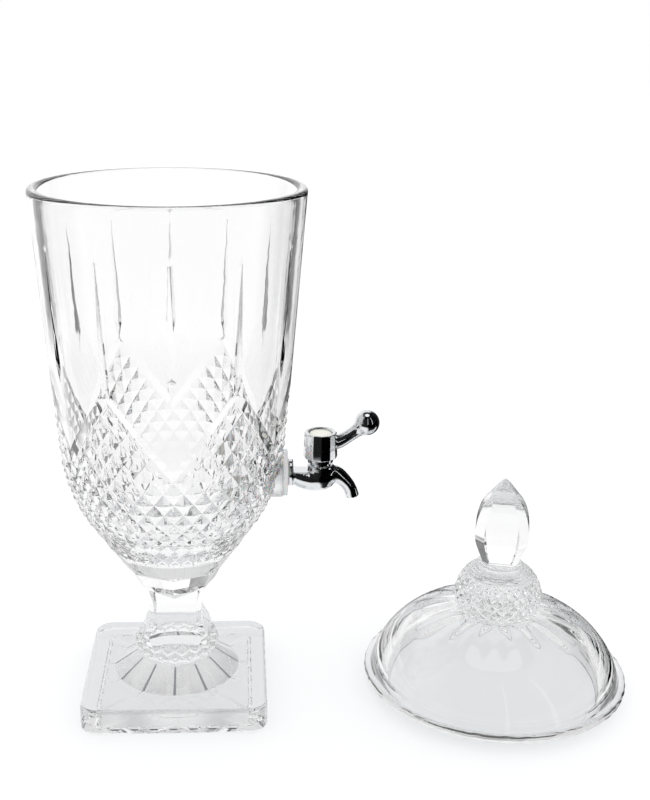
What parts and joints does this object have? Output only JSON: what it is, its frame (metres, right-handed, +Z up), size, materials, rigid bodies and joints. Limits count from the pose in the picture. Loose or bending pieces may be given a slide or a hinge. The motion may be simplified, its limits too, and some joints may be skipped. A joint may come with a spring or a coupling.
{
  "type": "glass beverage dispenser",
  "caption": "Pedestal jar of clear pressed glass on a square foot, with a chrome lever tap near the bottom of its bowl and a loose glass lid with a tall faceted finial.",
  "frame": {"origin": "middle of the square foot's underside, on the table", "axes": "+Z up along the jar's axis, +X from the jar's axis towards the tap and the lid that stands beside it, -Y towards the viewer"},
  "size_m": [0.426, 0.194, 0.372],
  "materials": {
    "jar_glass": "clear pressed glass, fire polished",
    "lid_glass": "clear pressed glass, fire polished",
    "tap_chrome": "bright chrome plate",
    "silicone": "milky translucent silicone",
    "steel": "plain stainless steel",
    "valve_brass": "turned brass",
    "plug_rubber": "black moulded rubber",
    "slip_plastic": "white low-friction plastic",
    "button_plastic": "pale glossy cap insert"
  },
  "bodies": {
    "dispenser": {"jar": "jar_glass", "tap_body": "tap_chrome", "outer_seal": "silicone", "inner_seal": "silicone", "shank_washer": "steel", "lock_nut": "tap_chrome", "thrust_washer": "slip_plastic", "bonnet_nut": "tap_chrome", "stop_pin": "steel"},
    "lever": {"lever_handle": "tap_chrome", "valve_plug": "valve_brass", "plug_seal_lower": "plug_rubber", "plug_seal_upper": "plug_rubber", "handle_screw": "steel", "top_button": "button_plastic"},
    "lid": {"lid": "lid_glass"}
  },
  "joints": [
    {"name": "lever_turn", "type": "hinge", "parent": "dispenser", "child": "lever", "pos_m": [0.1034, 0, 0.185], "axis": [0, 0, 1], "range_deg": [-90, 90]},
    {"name": "lid_lift", "type": "slide", "parent": "dispenser", "child": "lid", "axis": [0, 0, 1], "range_m": [0, 0.42]}
  ]
}
